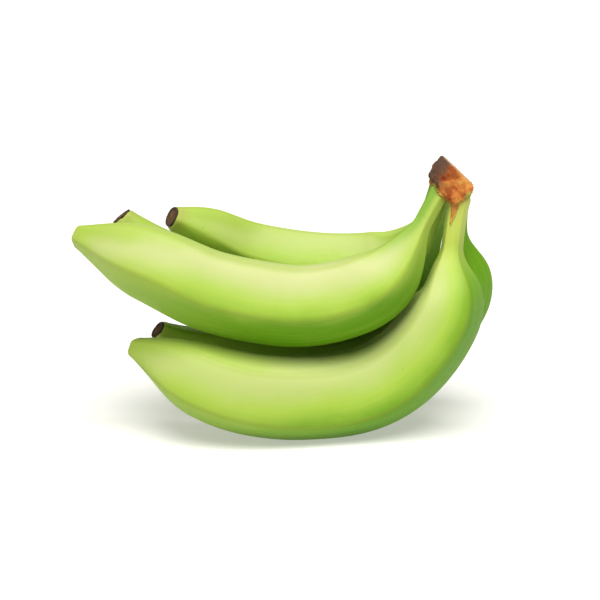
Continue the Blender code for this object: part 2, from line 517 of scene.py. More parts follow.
        # Each colour lies over those before it. The pale layer is partly a painted highlight, and the deep
        # outer layer partly painted shade
        neck = add_node(tree, MIX, COLOUR, {
            "Factor": neck_side, "A": linear(self.neck_green), "B": linear(self.neck_outside),
        })
        colour: Node | tuple[float, ...] = linear(self.middle)
        for share, over in (
            (inner, linear(self.inner)),
            (outer, linear(self.outer)),
            (fibrous, linear(self.pale)),
            (ridge_line, linear(self.ridge)),
            (neck_share, neck),
            (neck_tint, linear(self.neck)),
            (olive, linear(self.olive)),
            (dry_end, linear(self.dry)),
            (speck, linear(self.speck)),
            (browned, linear(self.browned)),
        ):
            colour = add_node(tree, MIX, COLOUR, {"Factor": share, "A": colour, "B": over})
        tree.links.new(colour.outputs[2], shader.inputs["Base Color"])

        # The wax lies unevenly, so the shine varies a little
        rough = add_node(tree, MAP_RANGE, None, {
            "Value": wax, "From Min": self.wax_span[0], "From Max": self.wax_span[1],
            "To Min": self.roughness + self.wax_shine[0], "To Max": self.roughness + self.wax_shine[1],
        })
        tree.links.new(rough.outputs[0], shader.inputs["Roughness"])
        for socket, value in (
            ("Subsurface Weight", self.glow_share),
            ("Subsurface Radius", self.glow_reach),
            ("Subsurface Scale", self.glow_mm * MM),
            ("IOR", self.wax_ior),
            ("Specular IOR Level", self.shine),
        ):
            shader.inputs[socket].default_value = value

        height = add_node(tree, MATH, MULTIPLY_ADD, {0: fibres, 1: self.fibre_height, 2: wax})
        bump = add_node(tree, "ShaderNodeBump", None, {
            "Strength": self.wax_bump, "Distance": self.wax_depth_mm * MM, "Height": height,
        })
        tree.links.new(bump.outputs[0], shader.inputs["Normal"])
        return made


@dataclass(frozen=True)
class CutTissue:
    """The crown's tissue: cut from the stem, then dried and browned in the air.

    Drying gives a rough, fibrous surface in several browns. The side that grew outside is dark and
    grey, and the fresh cut is paler.
    """

    name: str = "cut_crown_tissue_dried"
    orange: str = "#be6c2f"
    deep: str = "#823510"
    yellow: str = "#d39b48"
    weathered: str = "#523f33"
    cut: str = "#b7977a"
    green: str = "#a3ad4c"
    roughness: float = 0.8
    blotch_mm: float = 7.5
    fibre_mm: float = 0.9
    fibre_depth_mm: float = 0.4
    fibre_bump: float = 0.6
    fibre_degrees: float = 35.0
    fibre_stretch: tuple[float, float, float] = (1.0, 1.0, 0.25)
    fibre_span: tuple[float, float] = (0.5, 0.7)
    fibre_share: float = 0.35
    blotch_levels: tuple[float, float, float] = (0.36, 0.47, 0.62)
    raggedness: float = 2.2
    weathered_span: tuple[float, float] = (1.25, 2.1)
    weathered_share: float = 0.97
    cut_raggedness: float = 0.5
    cut_span: tuple[float, float] = (0.8, 1.2)
    cut_share: float = 0.9
    shine: float = 0.25

    def build(self) -> Material:
        """Makes the material.

        Returns:
            The material, which reads the crown's attributes.
        """
        made, tree, shader = new_material(self.name)
        place = add_node(tree, "ShaderNodeTexCoord").outputs["Object"]
        weathered, fresh_cut, bruised, green_rim = (
            add_node(tree, SHADER_READ, {"attribute_name": name}).outputs["Fac"]
            for name in ("weathered", "fresh_cut", "bruised", "green_rim")
        )
        stretched = add_node(tree, "ShaderNodeMapping", None, {
            "Vector": place, "Rotation": (0.0, math.radians(self.fibre_degrees), 0.0),
            "Scale": self.fibre_stretch,
        })
        blotches, fibres = (
            add_node(tree, NOISE, None, {"Vector": vector, "Scale": 1 / (size * MM), "Detail": detail})
            for vector, size, detail in ((place, self.blotch_mm, 4.0), (stretched, self.fibre_mm, 3.0))
        )
        browns = add_node(tree, "ShaderNodeValToRGB", None, {"Fac": blotches})
        ramp = browns.color_ramp
        low, middle, high = self.blotch_levels
        ramp.elements[0].position = low
        ramp.elements[0].color = linear(self.deep)
        ramp.elements[1].position = high
        ramp.elements[1].color = linear(self.yellow)
        ramp.elements.new(middle).color = linear(self.orange)
        fibrous = add_node(tree, MAP_RANGE, None, {
            "Value": fibres, "From Min": self.fibre_span[0], "From Max": self.fibre_span[1],
            "To Min": 0.0, "To Max": self.fibre_share,
        })
        # The noises make the edges of the weathered side and of the cut ragged
        old, cut = (
            add_node(tree, MAP_RANGE, SMOOTH, {
                "Value": add_node(tree, MATH, MULTIPLY_ADD, {0: ragged, 1: raggedness, 2: share}),
                "From Min": start, "From Max": end, "To Min": 0.0, "To Max": most,
            })
            for ragged, raggedness, share, (start, end), most in (
                (blotches, self.raggedness, weathered, self.weathered_span, self.weathered_share),
                (fibres, self.cut_raggedness, fresh_cut, self.cut_span, self.cut_share),
            )
        )
        brown = browns
        for share, over in (
            (fibrous, self.deep),
            (old, self.weathered),
            (bruised, self.deep),
            (cut, self.cut),
            (green_rim, self.green),
        ):
            brown = add_node(tree, MIX, COLOUR, {"Factor": share, "A": brown, "B": linear(over)})
        tree.links.new(brown.outputs[2], shader.inputs["Base Color"])
        shader.inputs["Roughness"].default_value = self.roughness
        shader.inputs["Specular IOR Level"].default_value = self.shine
        bump = add_node(tree, "ShaderNodeBump", None, {
            "Strength": self.fibre_bump, "Distance": self.fibre_depth_mm * MM, "Height": fibres,
        })
        tree.links.new(bump.outputs[0], shader.inputs["Normal"])
        return made


@dataclass(frozen=True)
class DriedSkin:
    """Skin of the crown that tore and dried on the necks: thin, brown and fibrous."""

    name: str = "torn_skin_dried"
    brown: str = "#cf9038"
    dark: str = "#96591d"
    edge: str = "#d6bc5a"
    roughness: float = 0.75
    fibre_mm: float = 1.0
    fibre_depth_mm: float = 0.2
    fibre_bump: float = 0.5
    fibre_stretch: tuple[float, float, float] = (1.0, 1.0, 0.2)
    fibre_span: tuple[float, float] = (0.35, 0.65)

    def build(self) -> Material:
        """Makes the material.

        Returns:
            The material, which reads the skin's attributes.
        """
        made, tree, shader = new_material(self.name)
        place = add_node(tree, "ShaderNodeTexCoord").outputs["Object"]
        rim = add_node(tree, SHADER_READ, {"attribute_name": "rim"}).outputs["Fac"]
        stretched = add_node(tree, "ShaderNodeMapping", None, {
            "Vector": place, "Scale": self.fibre_stretch,
        })
        fibres = add_node(
            tree, NOISE, None, {"Vector": stretched, "Scale": 1 / (self.fibre_mm * MM), "Detail": 3.0}
        )
        fibre_share = add_node(tree, MAP_RANGE, None, {
            "Value": fibres, "From Min": self.fibre_span[0], "From Max": self.fibre_span[1],
        })
        brown = add_node(
            tree, MIX, COLOUR, {"Factor": fibre_share, "A": linear(self.dark), "B": linear(self.brown)}
        )
        brown = add_node(tree, MIX, COLOUR, {"Factor": rim, "A": brown, "B": linear(self.edge)})
        tree.links.new(brown.outputs[2], shader.inputs["Base Color"])
        shader.inputs["Roughness"].default_value = self.roughness
        bump = add_node(tree, "ShaderNodeBump", None, {
            "Strength": self.fibre_bump, "Distance": self.fibre_depth_mm * MM, "Height": fibres,
        })
        tree.links.new(bump.outputs[0], shader.inputs["Normal"])
        return made


@dataclass(frozen=True)
class FlowerScarTissue:
    """The dried scar of a flower: dead, corky tissue, darkest round its rim and lighter in the middle."""

    name: str = "flower_scar_dried"
    dark: str = "#3a271a"
    brown: str = "#54391f"
    light: str = "#6b4e2e"
    roughness: float = 0.88
    grain_mm: float = 1.1
    grain_depth_mm: float = 0.3
    grain_bump: float = 0.5
    grain_share: float = 1.1
    contrast: float = 0.9
    shift: float = -0.35
    levels: tuple[float, float, float] = (0.2, 0.6, 0.95)

    def build(self) -> Material:
        """Makes the material.

        Returns:
            The material, which reads how far out from the scar's middle a point is.
        """
        made, tree, shader = new_material(self.name)
        place = add_node(tree, "ShaderNodeTexCoord").outputs["Object"]
        outward = add_node(tree, SHADER_READ, {"attribute_name": "outward"}).outputs["Fac"]
        grain = add_node(
            tree, NOISE, None, {"Vector": place, "Scale": 1 / (self.grain_mm * MM), "Detail": 3.0}
        )
        uneven = add_node(tree, MATH, MULTIPLY_ADD, {0: grain, 1: self.grain_share, 2: outward})
        uneven = add_node(tree, MATH, MULTIPLY_ADD, {0: uneven, 1: self.contrast, 2: self.shift})
        browns = add_node(tree, "ShaderNodeValToRGB", None, {"Fac": uneven})
        ramp = browns.color_ramp
        low, middle, high = self.levels
        ramp.elements[0].position = low
        ramp.elements[0].color = linear(self.light)
        ramp.elements[1].position = high
        ramp.elements[1].color = linear(self.dark)
        ramp.elements.new(middle).color = linear(self.brown)
        tree.links.new(browns.outputs[0], shader.inputs["Base Color"])
        shader.inputs["Roughness"].default_value = self.roughness
        bump = add_node(tree, "ShaderNodeBump", None, {
            "Strength": self.grain_bump, "Distance": self.grain_depth_mm * MM, "Height": grain,
        })
        tree.links.new(bump.outputs[0], shader.inputs["Normal"])
        return made


@dataclass(frozen=True)
class WhiteTable:
    """The white acrylic of a light table: matt, and lit a little from below, so that shadows stay pale."""

    name: str = "white_acrylic_lit"
    colour: str = "#c4c4c3"
    glow: str = "#fffdf6"
    glow_strength: float = 0.4
    roughness: float = 0.9
    shine: float = 0.2

    def build(self) -> Material:
        """Makes the material.

        Returns:
            The material.
        """
        made, _, shader = new_material(self.name)
        shader.inputs["Base Color"].default_value = linear(self.colour)
        shader.inputs["Roughness"].default_value = self.roughness
        shader.inputs["Specular IOR Level"].default_value = self.shine
        shader.inputs["Emission Color"].default_value = linear(self.glow)
        shader.inputs["Emission Strength"].default_value = self.glow_strength
        return made


@dataclass(frozen=True)
class PeelSweep:
    """The rule of a peel: a rounded pentagon swept along a centreline, as a Geometry Nodes tree.

    The section is a sum of five cosines raised to a power, so that a higher power gives flatter faces
    and sharper ridges. The neck is more angular than the body. The neck's tint and its green reach so
    many neck lengths from the crown, and the unevenness fades over a share of the whole length.
    """

    ridges: int = 5
    body_power: float = 7.0
    neck_power: float = 9.0
    even_samples: int = 720
    line_from: float = 0.8
    tint_from: float = 0.72
    belly_rise: float = 0.028
    wave_reach: float = 0.02
    fade_span: tuple[float, float] = (0.03, 0.2)
    tint_lengths: float = 2.0
    green_lengths: float = 4.0

    def mean_radius(self, power: float) -> float:
        """The mean radius of the section before it is scaled.

        Args:
            power: how angular the section is.

        Returns:
            The mean, which the tree divides by.
        """
        angles = 2 * math.pi * np.arange(self.even_samples) / self.even_samples
        faces = 2 * math.pi * (np.arange(self.ridges) + 0.5) / self.ridges
        towards = np.maximum(np.cos(angles[:, None] - faces[None, :]), 0.0)
        return float(((towards ** power).sum(axis=1) ** (-1 / power)).mean())

    def build(self) -> NodeTree:
        """Makes the tree.

        Returns:
            A tree for a curve whose points carry the finger's girth as their radius.
        """
        tree, source, result = new_geometry_tree("peel_sweep", {
            "Sides": "NodeSocketInt",
            **dict.fromkeys((
                "Root depth", "Neck length", "Ridge roll", "Ridge line", "Waviness", "Wave length",
                "Ground blend", "Belly start", "Belly share", "Green turn", "Neck green", "Neck tint",
                "Olive reach", "Olive share", "Dry reach", "Dry share",
            ), "NodeSocketFloat"),
            "Crown": "NodeSocketObject",
            "Peel": "NodeSocketMaterial",
        })
        given = source.outputs
        measure = add_node(tree, "GeometryNodeSplineParameter")
        path = given["Geometry"]
        for name, kind, value in (
            ("path_place", "FLOAT_VECTOR", add_node(tree, "GeometryNodeInputPosition")),
            ("path_ahead", "FLOAT_VECTOR", add_node(tree, "GeometryNodeInputTangent")),
            ("girth", "FLOAT", add_node(tree, "GeometryNodeInputRadius")),
            ("along", "FLOAT", measure.outputs["Length"]),
            ("share", "FLOAT", measure.outputs["Factor"]),
        ):
            path = add_node(
                tree, STORE, {"data_type": kind, "domain": "POINT"},
                {"Geometry": path, "Name": name, "Value": value},
            )
        circle = add_node(
            tree, "GeometryNodeCurvePrimitiveCircle", {"mode": "RADIUS"}, {"Resolution": given["Sides"]}
        )
        turn = add_node(tree, MATH, MULTIPLY, {0: measure.outputs["Factor"], 1: 2 * math.pi})
        circle = add_node(
            tree, STORE, {"data_type": "FLOAT", "domain": "POINT"},
            {"Geometry": circle, "Name": "angle", "Value": turn},
        )
        skin = add_node(tree, "GeometryNodeCurveToMesh", None, {
            "Curve": path, "Profile Curve": circle, "Fill Caps": True,
        })

        place = add_node(tree, READ, TRIPLE, {"Name": "path_place"})
        ahead = add_node(tree, READ, TRIPLE, {"Name": "path_ahead"})
        girth, along, share, angle = (
            add_node(tree, READ, NUMBER, {"Name": name})
            for name in ("girth", "along", "share", "angle")
        )
        from_root = add_node(tree, MATH, SUBTRACT, {0: along, 1: given["Root depth"]})

        # Sideways is the hand's depth made square to the path, and outwards is away from the bend
        away = (0.0, 1.0, 0.0)
        lean = add_node(tree, VECTOR_MATH, {"operation": "DOT_PRODUCT"}, {0: ahead, 1: away})
        along_path = add_node(tree, VECTOR_MATH, SCALE, {0: ahead, "Scale": lean})
        square = add_node(tree, VECTOR_MATH, SUBTRACT, {0: away, 1: along_path})
        sideways = add_node(tree, VECTOR_MATH, {"operation": "NORMALIZE"}, {0: square})
        outwards = add_node(tree, VECTOR_MATH, {"operation": "CROSS_PRODUCT"}, {0: ahead, 1: sideways})

        # The section
        twice = add_node(tree, MATH, MULTIPLY, {0: given["Neck length"], 1: self.tint_lengths})
        power = add_node(tree, MAP_RANGE, None, {
            "Value": from_root, "From Min": given["Neck length"], "From Max": twice,
            "To Min": self.neck_power, "To Max": self.body_power,
        })
        total: Node | float = 0.0
        for face in range(self.ridges):
            middle = 2 * math.pi * (face + 0.5) / self.ridges
            turned = add_node(tree, MATH, SUBTRACT, {0: angle, 1: middle})
            towards = add_node(tree, MATH, COSINE, {0: turned})
            facing = add_node(tree, MATH, {"operation": "MAXIMUM"}, {0: towards, 1: 0.0})
            raised = add_node(tree, MATH, POWER, {0: facing, 1: power})
            total = add_node(tree, MATH, ADD, {0: raised, 1: total})
        root = add_node(tree, MATH, DIVIDE, {0: -1.0, 1: power})
        form = add_node(tree, MATH, POWER, {0: total, 1: root})
        mean = add_node(tree, MAP_RANGE, None, {
            "Value": power, "From Min": self.body_power, "From Max": self.neck_power,
            "To Min": self.mean_radius(self.body_power), "To Max": self.mean_radius(self.neck_power),
        })
        even = add_node(tree, MATH, DIVIDE, {0: form, 1: mean})
        reach = add_node(tree, MATH, MULTIPLY, {0: girth, 1: even})

        rolled = add_node(tree, MATH, ADD, {0: angle, 1: given["Ridge roll"]})
        out_part = add_node(tree, VECTOR_MATH, SCALE, {
            0: outwards, "Scale": add_node(tree, MATH, COSINE, {0: rolled}),
        })
        side_part = add_node(tree, VECTOR_MATH, SCALE, {
            0: sideways, "Scale": add_node(tree, MATH, SINE, {0: rolled}),
        })
        spoke = add_node(tree, VECTOR_MATH, ADD, {0: out_part, 1: side_part})

        # A fine raised line on each ridge
        crest = add_node(tree, MATH, MULTIPLY, {0: angle, 1: float(self.ridges)})
        crest = add_node(tree, MATH, COSINE, {0: crest})
        line = add_node(tree, MAP_RANGE, SMOOTH, {
            "Value": crest, "From Min": self.line_from, "From Max": 1.0, "To Min": 0.0,
            "To Max": given["Ridge line"],
        })

        # Slow unevenness, which fades out at the neck and at the blunt end
        bare = add_node(tree, VECTOR_MATH, MULTIPLY_ADD, {0: spoke, 1: (self.wave_reach,) * 3, 2: place})
        wave_scale = add_node(tree, MATH, DIVIDE, {0: 1.0, 1: given["Wave length"]})
        wave = add_node(tree, NOISE, None, {"Vector": bare, "Scale": wave_scale, "Detail": 1.0})
        centred = add_node(tree, MATH, SUBTRACT, {0: wave, 1: 0.5})
        fade = add_node(tree, MATH, {"operation": "PINGPONG"}, {0: share, 1: 0.5})
        fade = add_node(tree, MAP_RANGE, SMOOTH, {
            "Value": fade, "From Min": self.fade_span[0], "From Max": self.fade_span[1],
        })
        uneven = add_node(tree, MATH, MULTIPLY, {0: centred, 1: given["Waviness"]})
        uneven = add_node(tree, MATH, MULTIPLY, {0: uneven, 1: fade})
        raised = add_node(tree, MATH, MULTIPLY, {0: line, 1: fade})
        reach = add_node(tree, MATH, ADD, {0: reach, 1: uneven})
        reach = add_node(tree, MATH, ADD, {0: reach, 1: raised})

        radial = add_node(tree, VECTOR_MATH, SCALE, {0: spoke, "Scale": reach})
        point = add_node(tree, VECTOR_MATH, ADD, {0: place, 1: radial})
        axes = add_node(tree, "ShaderNodeSeparateXYZ", None, {0: point})
        above = add_node(
            tree, MATH, {"operation": "SMOOTH_MAX"},
            {0: axes.outputs["Z"], 1: 0.0, 2: given["Ground blend"]},
        )
        point = add_node(
            tree, "ShaderNodeCombineXYZ", None, {"X": axes.outputs["X"], "Y": axes.outputs["Y"], "Z": above}
        )
        skin = add_node(tree, "GeometryNodeSetPosition", None, {"Geometry": skin, "Position": point})
        skin = add_node(tree, "GeometryNodeFlipFaces", None, {"Mesh": skin})

        # What the materials read
        around = add_node(tree, "ShaderNodeCombineXYZ", None, {
            "X": add_node(tree, MATH, COSINE, {0: angle}),
            "Y": add_node(tree, MATH, SINE, {0: angle}), "Z": from_root,
        })
        whole = add_node(tree, MATH, DIVIDE, {0: along, 1: share})
        to_end = add_node(tree, MATH, SUBTRACT, {0: whole, 1: along})
        longer = add_node(tree, MATH, MULTIPLY, {0: given["Neck length"], 1: self.green_lengths})
        whole_belly = add_node(tree, MATH, ADD, {0: given["Belly start"], 1: self.belly_rise})
        ridge, neck_green, neck_tint, belly, belly_end, olive, dry = (
            add_node(tree, MAP_RANGE, SMOOTH, {
                "Value": value, "From Min": start, "From Max": end, "To Min": 0.0, "To Max": most,
            })
            for value, start, end, most in (
                (crest, self.tint_from, 1.0, 1.0),
                (from_root, longer, 0.0, given["Neck green"]),
                (from_root, twice, 0.0, given["Neck tint"]),
                (from_root, given["Belly start"], whole_belly, given["Belly share"]),
                (to_end, 0.0, self.belly_rise, 1.0),
                (to_end, given["Olive reach"], 0.0, given["Olive share"]),
                (to_end, given["Dry reach"], 0.0, given["Dry share"]),
            )
        )
        # Where along the finger the pale layer, partly a painted highlight, lies: from past the neck to
        # near the blunt end
        belly = add_node(tree, MATH, MULTIPLY, {0: belly, 1: belly_end})
        crown = add_node(tree, "GeometryNodeObjectInfo", {"transform_space": "ORIGINAL"},
                         {"Object": given["Crown"]})
        near = add_node(tree, "GeometryNodeProximity", {"target_element": "FACES"},
                        {"Geometry": crown.outputs["Geometry"]})
        for name, kind, value in (
            ("skin", "FLOAT_VECTOR", around),
            ("ridge", "FLOAT", ridge),
            ("belly", "FLOAT", belly),
            ("green_turn", "FLOAT", given["Green turn"]),
            ("green_neck", "FLOAT", neck_green),
            ("neck_tint", "FLOAT", neck_tint),
            ("olive_end", "FLOAT", olive),
            ("dry_end", "FLOAT", dry),
            ("from_crown", "FLOAT", near.outputs["Distance"]),
        ):
            skin = add_node(
                tree, STORE, {"data_type": kind, "domain": "POINT"},
                {"Geometry": skin, "Name": name, "Value": value},
            )
        for name in ("path_place", "path_ahead", "girth", "along", "share", "angle"):
            skin = add_node(tree, "GeometryNodeRemoveAttribute", None, {"Geometry": skin, "Name": name})
        skin = add_node(tree, "GeometryNodeSetShadeSmooth", None, {"Geometry": skin, "Shade Smooth": True})
        skin = add_node(tree, "GeometryNodeRealizeInstances", None, {"Geometry": skin})
        skin = add_node(tree, "GeometryNodeSetMaterial", None, {
            "Geometry": skin, "Material": given["Peel"],
        })
        tree.links.new(skin.outputs[0], result.inputs["Geometry"])
        return tree


@dataclass
class Finger:
    """One plantain of the hand: its centreline from the crown to the blunt end, and its girth.

    The lengths are the CAD source's. fullest_at is the share of the length where the body is thickest,
    and slimming the share of its girth that it loses at slimmed_at of the length either side of that.
    lip is how far the peel stands round the flower scar, so that the scar shows from the end alone.
    green_turn moves the dark outer side, partly painted shade, inwards, or outwards where it is negative,
    and neck_green greens the neck, or darkens it with painted shade where it is negative. The pale layer,
    partly a painted highlight, starts at belly_start and is as strong as the finger's share of it.
    scar_wrinkles and scar_lifts say how far the slow and the fine noise move the scar's surface, as shares
    of its radius and in millimetres of height.
    """

    depth: Depth
    row: Row
    centreline: tuple[tuple[float, float, float], ...]
    body_radius: float
    fullest_at: float
    slimming: float
    neck_radius: float
    neck_length: float
    shoulder_slope: float
    root_flare: float
    end_radius: float
    end_slope: float
    roll_degrees: float
    lip: float
    belly_start: float
    pale_and_highlight_share: float
    green_turn: float
    neck_green: float
    neck_tint: float
    dry_share: float

    slimmed_at: float = 0.28
    shoulder_blend: float = 5.0
    tip_blend: float = 3.5
    end_blend: float = 2.5
    root_flare_length: float = 4.0
    root_depth: float = 4.0
    root_aim: tuple[float, float] = (80.0, 134.0)
    root_bend: float = 0.6
    root_narrowing: float = 0.45
    rings: int = 230
    sides: int = 140
    fine_points: int = 3000
    end_gap: float = 1.2
    lip_round: float = 1.6
    lip_share: float = 0.86
    ridge_line: float = 0.35
    waviness: float = 0.7
    wave_length: float = 38.0
    ground_blend: float = 0.6
    olive_reach: float = 130.0
    olive_share: float = 0.6
    dry_reach: float = 9.0
    scar_rings: int = 57
    scar_sides: int = 96
    scar_waves: float = 3.2
    scar_fine_waves: float = 9.0
    scar_wrinkles: tuple[float, float] = (0.05, 0.03)
    scar_lifts: tuple[float, float] = (0.2, 0.3)
    scar_least_lift: float = 0.25
    scar_seed: float = 10.0
    scar_seed_step: float = 3.0
    scar_fit: float = 1.02
    scar_sinking: float = 0.25
    lip_narrowing: float = 0.2
    # Distance out of the end's face and share of the rim's radius, from inside the peel inwards
    scar_profile: tuple[tuple[float, float], ...] = (
        (-1.0, 0.95), (-0.3, 1.0), (0.3, 1.03), (0.66, 1.02), (0.80, 0.96), (0.78, 0.89),
        (0.62, 0.81), (0.48, 0.72), (0.42, 0.60), (0.42, 0.48), (0.50, 0.37), (0.64, 0.28),
        (0.78, 0.21), (0.84, 0.14), (0.86, 0.07),
    )

    @property
    def place(self) -> str:
        """The finger's place in the hand, as its nodes are named."""
        return f"{self.depth.value}_{self.row.value}"

    def path(self, left_off: float) -> tuple[np.ndarray, np.ndarray, float]:
        """Even points on the centreline's natural cubic spline.

        Args:
            left_off: how far short of the centreline's end the points stop, in millimetres.

        Returns:
            The points, how far along each is, and the whole length.
        """
        points = np.array(self.centreline, dtype=float)
        steps = np.sqrt(np.linalg.norm(np.diff(points, axis=0), axis=1))
        knots = np.concatenate([[0.0], np.cumsum(steps)])
        last = len(points) - 1
        system = np.eye(last + 1)
        target = np.zeros_like(points)
        for i in range(1, last):
            before = steps[i - 1]
            after = steps[i]
            system[i, i - 1:i + 2] = (before, 2 * (before + after), after)
            target[i] = 6 * ((points[i + 1] - points[i]) / after - (points[i] - points[i - 1]) / before)
        bend = np.linalg.solve(system, target)
        fine = np.linspace(0.0, knots[-1], self.fine_points)
        span = np.clip(np.searchsorted(knots, fine, side="right") - 1, 0, last - 1)
        width = steps[span][:, None]
        left = (knots[span + 1] - fine)[:, None]
        right = (fine - knots[span])[:, None]
        path = (
            bend[span] * left ** 3 / (6 * width)
            + bend[span + 1] * right ** 3 / (6 * width)
            + (points[span] / width - bend[span] * width / 6) * left
            + (points[span + 1] / width - bend[span + 1] * width / 6) * right
        )
        travelled = np.concatenate([[0.0], np.cumsum(np.linalg.norm(np.diff(path, axis=0), axis=1))])
        wanted = np.linspace(0.0, travelled[-1] - left_off, self.rings)
        even = np.stack([np.interp(wanted, travelled, path[:, axis]) for axis in range(3)], axis=1)
        return even, wanted, float(travelled[-1])

    def radius(self, along: np.ndarray, length: float) -> np.ndarray:
        """The mean radius at each distance from the crown, as the CAD source has it.

        Args:
            along: distances along the centreline.
            length: the centreline's whole length.

        Returns:
            The radius at each distance.
        """
        from_fullest = (along / length - self.fullest_at) / self.slimmed_at
        body = self.body_radius * (1 - self.slimming * from_fullest ** 2)
        shoulder = self.neck_radius + self.shoulder_slope * (along - self.neck_length)
        taper = self.end_radius + self.end_slope * (length - along)
        reach = soft_min(soft_min(shoulder, body, self.shoulder_blend), taper, self.tip_blend)
        least = np.where(along < 0.5 * length, self.neck_radius, self.end_radius)
        flare = self.root_flare * np.exp(-np.maximum(along, 0.0) / self.root_flare_length)
        return soft_max(reach, least, self.end_blend) + flare

    def build_peel(self, frame: HandFrame, tree: NodeTree, crown: Object, look: Material) -> Object:
        """Sweeps the peel, from inside the crown to the lip of the blunt end.

        Args:
            frame: where the drawing lies.
            tree: the peel's tree.
            crown: the crown's piece, whose nearness browns the skin.
            look: the peel's material.

        Returns:
            The peel.
        """
        points, along, length = self.path(self.end_gap)
        radius = self.radius(along, length)
        left = np.clip((along[-1] - along) / self.lip_round, 0.0, 1.0)
        radius *= self.lip_share + (1 - self.lip_share) * np.sqrt(1 - (1 - left) ** 2)
        step = along[1] - along[0]
        inside = -step * np.arange(math.ceil(self.root_depth / step), 0, -1)
        ahead = (points[1] - points[0]) / step
        # Inside the crown the root bends towards the crown's middle and narrows
        aim = np.array([self.root_aim[0], points[0, 1], self.root_aim[1]]) - points[0]
        aim -= ahead * (aim @ ahead)
        deep = (inside / self.root_depth) ** 2
        root = points[0] + inside[:, None] * ahead + self.root_bend * deep[:, None] * aim
        points = np.vstack([root, points])
        radius = np.concatenate([radius[0] * (1 - self.root_narrowing * deep), radius])

        data = bpy.data.curves.new(f"centreline_{self.place}", "CURVE")
        data.dimensions = "3D"
        spline = data.splines.new("POLY")
        spline.points.add(len(points) - 1)
        placed = frame.place(points)
        spline.points.foreach_set("co", np.column_stack([placed, np.ones(len(placed))]).ravel())
        spline.points.foreach_set("radius", radius * MM)
        host = bpy.data.objects.new(data.name, data)
        bpy.context.scene.collection.objects.link(host)
        return run_tree(host, tree, {
            "Sides": self.sides,
            "Root depth": -float(inside[0]) * MM,
            "Neck length": self.neck_length * MM,
            "Ridge roll": math.radians(self.roll_degrees),
            "Ridge line": self.ridge_line * MM,
            "Waviness": self.waviness * MM,
            "Wave length": self.wave_length * MM,
            "Ground blend": self.ground_blend * MM,
            "Belly start": self.belly_start * MM,
            "Belly share": self.pale_and_highlight_share,
            "Green turn": self.green_turn,
            "Neck green": self.neck_green,
            "Neck tint": self.neck_tint,
            "Olive reach": self.olive_reach * MM,
            "Olive share": self.olive_share,
            "Dry reach": self.dry_reach * MM,
            "Dry share": self.dry_share,
            "Crown": crown,
            "Peel": look,
        }, f"peel_{self.place}")

    def build_scar(self, frame: HandFrame, look: Material) -> Object:
        """Makes the dried flower scar, with a raised rim, a wrinkled hollow and a nub in its middle.

        Args:
            frame: where the drawing lies.
            look: the scar's material.

        Returns:
            The scar.
        """
        points, _, _ = self.path(self.end_gap)
        ahead = points[-1] - points[-2]
        ahead /= np.linalg.norm(ahead)
        side = np.array([0.0, 1.0, 0.0])
        side -= ahead * (ahead @ side)
        side /= np.linalg.norm(side)
        spoke = np.cross(ahead, side)
        rim = self.end_radius * (self.scar_fit - self.lip_narrowing * self.lip)
        profile = np.array(self.scar_profile)
        places = np.linspace(0, len(profile) - 1, self.scar_rings)
        out = np.interp(places, np.arange(len(profile)), profile[:, 0]) - self.lip * self.scar_sinking
        share = np.interp(places, np.arange(len(profile)), profile[:, 1])
        count = self.scar_sides
        angles = 2 * math.pi * np.arange(count) / count
        seed = self.scar_seed * len(self.place)
        rings = []
        for distance, part in zip(out, share):
            ring = []
            for angle in angles:
                turned = np.array([math.cos(angle), math.sin(angle)])
                wrinkle = noise.noise(Vector((*(self.scar_waves * turned), seed)))
                fine_seed = seed + self.scar_seed_step * part
                fine = noise.noise(Vector((*(self.scar_fine_waves * turned), fine_seed)))
                reach = rim * part * (1 + self.scar_wrinkles[0] * wrinkle + self.scar_wrinkles[1] * fine)
                # The wrinkles are lower at the rim and in the middle
                lifted = min(1.0, 4 * part * (self.scar_fit - part) + self.scar_least_lift)
                lift = distance + (self.scar_lifts[1] * fine + self.scar_lifts[0] * wrinkle) * lifted
                ring.append(points[-1] + lift * ahead
                            + reach * (math.cos(angle) * spoke + math.sin(angle) * side))
            rings.append(ring)
        name = f"scar_{self.place}"
        mesh = to_mesh(name, loft(frame.place(np.array(rings).reshape(-1, 3)).reshape(-1, count, 3)), look)
        outward = np.concatenate([np.repeat(share, count), [1.0, 0.0]])
        write_attribute(mesh, "outward", outward)
        return place_piece(name, mesh)


